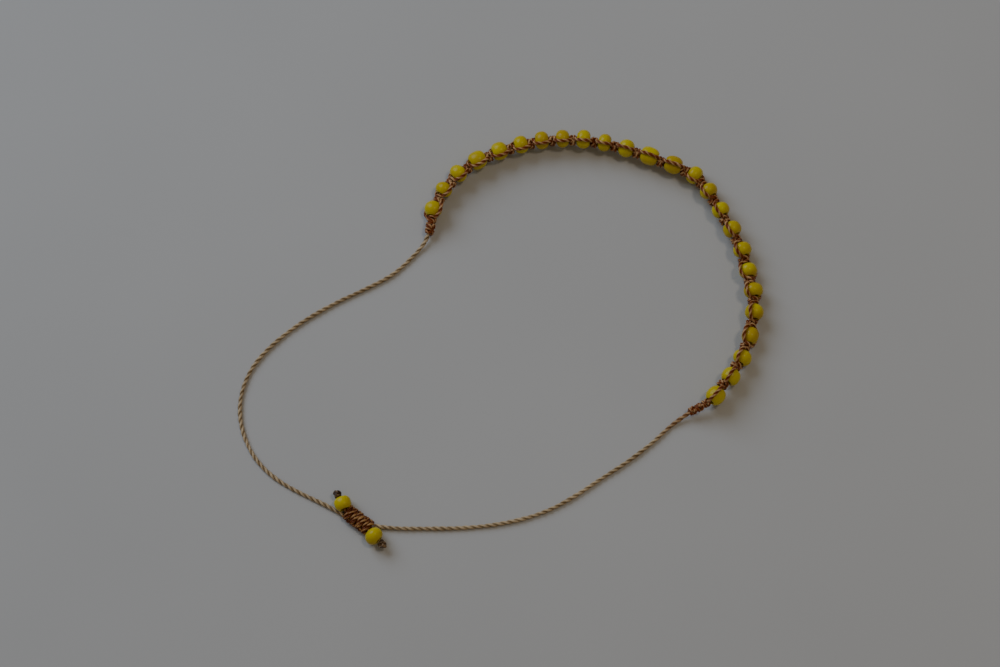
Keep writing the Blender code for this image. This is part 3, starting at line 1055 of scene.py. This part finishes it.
class BRACELET_OT_bare_threads(bpy.types.Operator):
    """Lay the two bare threads from the band to the sliding knot"""

    bl_idname = "bracelet.bare_threads"
    bl_label = "Bare threads"

    def execute(self, context):
        settings = context.scene.bracelet_threads
        colours = (settings.beige, settings.olive, 0.5, 0.22)
        browns = (settings.walnut, settings.umber)
        beige = thread_material("bare thread", *colours)
        browned = thread_material("bare thread, browned at the band", *colours, browns)
        left_end = band.start + THREAD_TUCK
        right_start = band.end - THREAD_TUCK
        left = bare_thread_points(0, left_end, slider.entry("left"), True)[::-1]
        right = bare_thread_points(right_start, route.length, slider.entry("right"), False)
        self.make_thread("thread_left", left, beige, settings, 11)
        self.make_thread("thread_right", right, browned, settings, 12)
        return {"FINISHED"}

    def make_thread(self, node, points, material, settings, seed):
        curve = evenly_spaced(spline_through(points, 10), BARE_STEP)
        mesh = twisted_thread(node, curve, THREAD_DIAMETER, settings.twist, 10, seed)
        piece = new_piece(f"bare_{node}", mesh, material, [node])


class BRACELET_OT_sliding_knot(bpy.types.Operator):
    """Tie the sliding knot: square knots over both bare threads"""

    bl_idname = "bracelet.sliding_knot"
    bl_label = "Sliding knot"

    def execute(self, context):
        settings = context.scene.bracelet_threads
        material = dark_thread_material()
        meshes = [self.working_thread(1, settings), self.working_thread(-1, settings)]
        meshes += [self.core(settings, -1), self.core(settings, 1)]
        mesh = join_meshes("sliding_knot_threads", meshes)
        new_piece("sliding_knot_threads", mesh, material, ["sliding_knot"])
        return {"FINISHED"}

    def working_thread(self, side, settings):
        each = SLIDER_LENGTH / SLIDER_KNOTS
        diameter = settings.knot_diameter * SLIDER_THREAD
        points = []
        for i in range(SLIDER_KNOTS):
            way = square_knot_way((i + 0.5) * each, each, diameter, side, spread=SLIDER_SPREAD)
            for s, towards, front in way:
                point = slider.left + slider.along * s + slider.aside * towards
                points.append(point + UP * front * SLIDER_HEIGHT)
        curve = evenly_spaced(spline_through(points, 12), KNOTTED_STEP)
        curve = above_floor(curve, diameter)
        diameter *= SLIDER_WRAPS
        return twisted_thread("wraps", curve, diameter, settings.twist, 8, 21 + side)

    def core(self, settings, side):
        points = []
        for s in np.linspace(-SLIDER_CORE_OUT, SLIDER_LENGTH + SLIDER_CORE_OUT, 30):
            point = slider.left + slider.along * s
            points.append(point + slider.aside * side * SLIDER_CORE_ASIDE)
        diameter = THREAD_DIAMETER * TAIL_THREAD
        return twisted_thread("core", points, diameter, settings.twist, 8, 25 + side)


class BRACELET_OT_tails(bpy.types.Operator):
    """Make the tails through the stopper beads, with their burnt knots"""

    bl_idname = "bracelet.tails"
    bl_label = "Tails and burnt knots"

    def execute(self, context):
        burnt = burnt_material()
        dark = dark_thread_material()
        for end, seed in (("left", 41), ("right", 42)):
            node = f"tail_{end}"
            centre, axis, _, half = slider.stopper(end)
            mesh = self.through_mesh(end, centre, axis, half, seed)
            new_piece(f"thread_of_{node}", mesh, dark, [node])
            mesh = self.knot_mesh(end, centre, axis, half, seed)
            new_piece(f"burnt_{node}", mesh, burnt, [node])
        return {"FINISHED"}

    def through_mesh(self, end, centre, axis, half, seed):
        """The thread from the sliding knot through the bead."""
        settings = bpy.context.scene.bracelet_threads
        points = [slider.tail(end), centre - axis * half, centre, centre + axis * half]
        through = evenly_spaced(spline_through(points, 12), TAIL_STEP)
        diameter = THREAD_DIAMETER * TAIL_THREAD
        return twisted_thread("through", through, diameter, settings.twist, 8, seed)

    def knot_mesh(self, end, centre, axis, half, seed):
        """An overhand knot pulled tight, as a loop that twines round itself, and its melted tip."""
        settings = bpy.context.scene.bracelet_threads
        side = axis.cross(UP)
        length = TAIL_KNOT_LENGTH[end]
        aside = side * TAIL_KNOT_ASIDE[end]
        to_middle = half + TAIL_KNOT_GAP + length * OVERHAND["middle"]
        knot = centre + axis * to_middle + aside * OVERHAND["middle"]
        loops = []
        for turn in np.linspace(0, 2 * math.pi, 90):
            swing = OVERHAND["out"] + OVERHAND["swing"] * math.cos(3 * turn)
            reach = TAIL_KNOT_DIAMETER / 2 * swing
            along = length * OVERHAND["along"] * math.sin(3 * turn)
            across = side * math.cos(2 * turn) + UP * math.sin(2 * turn)
            loops.append(knot + across * reach + axis * along)
        diameter = THREAD_DIAMETER * OVERHAND_THREAD
        overhand = twisted_thread("overhand", loops, diameter, settings.twist, 8, seed)
        tip = knot + (axis * length + aside) * OVERHAND["tip"]
        drop = melted_drop("tip", tip, MELTED_DROP_RADIUS, seed)
        return join_meshes(f"tail_{end}", [overhand, drop])


def melted_drop(name, centre, radius, seed):
    """A small lumpy drop of melted thread."""
    drop = bmesh.new()
    bmesh.ops.create_icosphere(drop, subdivisions=3, radius=radius)
    waves = np.random.RandomState(seed).uniform(0, 2 * math.pi, 2)
    for vert in drop.verts:
        lump = math.sin(vert.co.x / radius * 2.4 + waves[0])
        lump *= math.sin(vert.co.y / radius * 2.1 + waves[1])
        vert.co = vert.co * (1 + 0.16 * lump) + centre
    mesh = bpy.data.meshes.new(name)
    drop.to_mesh(mesh)
    drop.free()
    return mesh


class BRACELET_OT_stage(bpy.types.Operator):
    """Set the floor, the lights and the camera"""

    bl_idname = "bracelet.stage"
    bl_label = "Stage"

    def execute(self, context):
        settings = context.scene.bracelet_stage
        self.make_floor(settings)
        self.make_light("window", settings.window_power)
        self.make_light("second light", settings.lamp_power)
        self.make_world(context)
        self.make_camera(context)
        return {"FINISHED"}

    def make_floor(self, settings):
        half = settings.floor_size / 2
        corners = [(-half, -half, 0), (half, -half, 0), (half, half, 0), (-half, half, 0)]
        mesh = bpy.data.meshes.new("floor")
        mesh.from_pydata(corners, [], [(0, 1, 2, 3)])
        mesh.materials.append(floor_material(settings.floor_colour))
        floor = place_object("floor", mesh)

    def make_light(self, name, power):
        light = bpy.data.lights.new(name, "AREA")
        light.shape = "DISK"
        light.size = LIGHTS[name]["width"]
        light.energy = power
        light.color = LIGHTS[name]["colour"]
        lamp = place_object(name, light)
        lamp.location = LIGHTS[name]["place"]
        lamp.rotation_euler = (-lamp.location).to_track_quat("-Z", "Y").to_euler()

    def make_world(self, context):
        world = bpy.data.worlds.new("soft room")
        world.use_nodes = True
        background = world.node_tree.nodes["Background"]
        background.inputs["Color"].default_value = (*ROOM_COLOUR, 1)
        background.inputs["Strength"].default_value = ROOM_STRENGTH
        context.scene.world = world

    def make_camera(self, context):
        data = bpy.data.cameras.new("camera")
        data.lens = CAMERA_LENS
        data.sensor_width = 36
        data.dof.use_dof = False
        camera = place_object("camera", data)
        elevation = math.radians(CAMERA_ELEVATION_DEGREES)
        aim = Vector((-ROUTE_MIDDLE[0] * MM, -ROUTE_MIDDLE[1] * MM, 0))
        away = Vector((0, -math.cos(elevation), math.sin(elevation)))
        camera.location = aim + away * CAMERA_DISTANCE
        camera.rotation_euler = (math.pi / 2 - elevation, 0, 0)
        context.scene.camera = camera


OPERATORS = (
    BRACELET_OT_stage,
    BRACELET_OT_bare_threads,
    BRACELET_OT_band_beads,
    BRACELET_OT_stopper_beads,
    BRACELET_OT_knotted_threads,
    BRACELET_OT_sliding_knot,
    BRACELET_OT_tails,
)


class BRACELET_PT_panel(bpy.types.Panel):
    """Lists the bracelet's pieces and settings in the sidebar"""

    bl_idname = "BRACELET_PT_panel"
    bl_label = "Knotted bead bracelet"
    bl_space_type = "VIEW_3D"
    bl_region_type = "UI"
    bl_category = "Bracelet"

    def draw(self, context):
        for name, group in SETTINGS.items():
            box = self.layout.box()
            for prop in group.__annotations__:
                box.prop(getattr(context.scene, name), prop)
        for operator in OPERATORS:
            self.layout.operator(operator.bl_idname)


def register():
    for name, group in SETTINGS.items():
        bpy.utils.register_class(group)
        setattr(bpy.types.Scene, name, PointerProperty(type=group))
    for operator in OPERATORS:
        bpy.utils.register_class(operator)
    bpy.utils.register_class(BRACELET_PT_panel)


def unregister():
    bpy.utils.unregister_class(BRACELET_PT_panel)
    for operator in reversed(OPERATORS):
        bpy.utils.unregister_class(operator)
    for name, group in SETTINGS.items():
        delattr(bpy.types.Scene, name)
        bpy.utils.unregister_class(group)


def main():
    register()
    bpy.ops.bracelet.stage()
    bpy.ops.bracelet.bare_threads()
    bpy.ops.bracelet.band_beads()
    bpy.ops.bracelet.stopper_beads()
    bpy.ops.bracelet.knotted_threads()
    bpy.ops.bracelet.sliding_knot()
    bpy.ops.bracelet.tails()


if __name__ == "__main__":
    main()
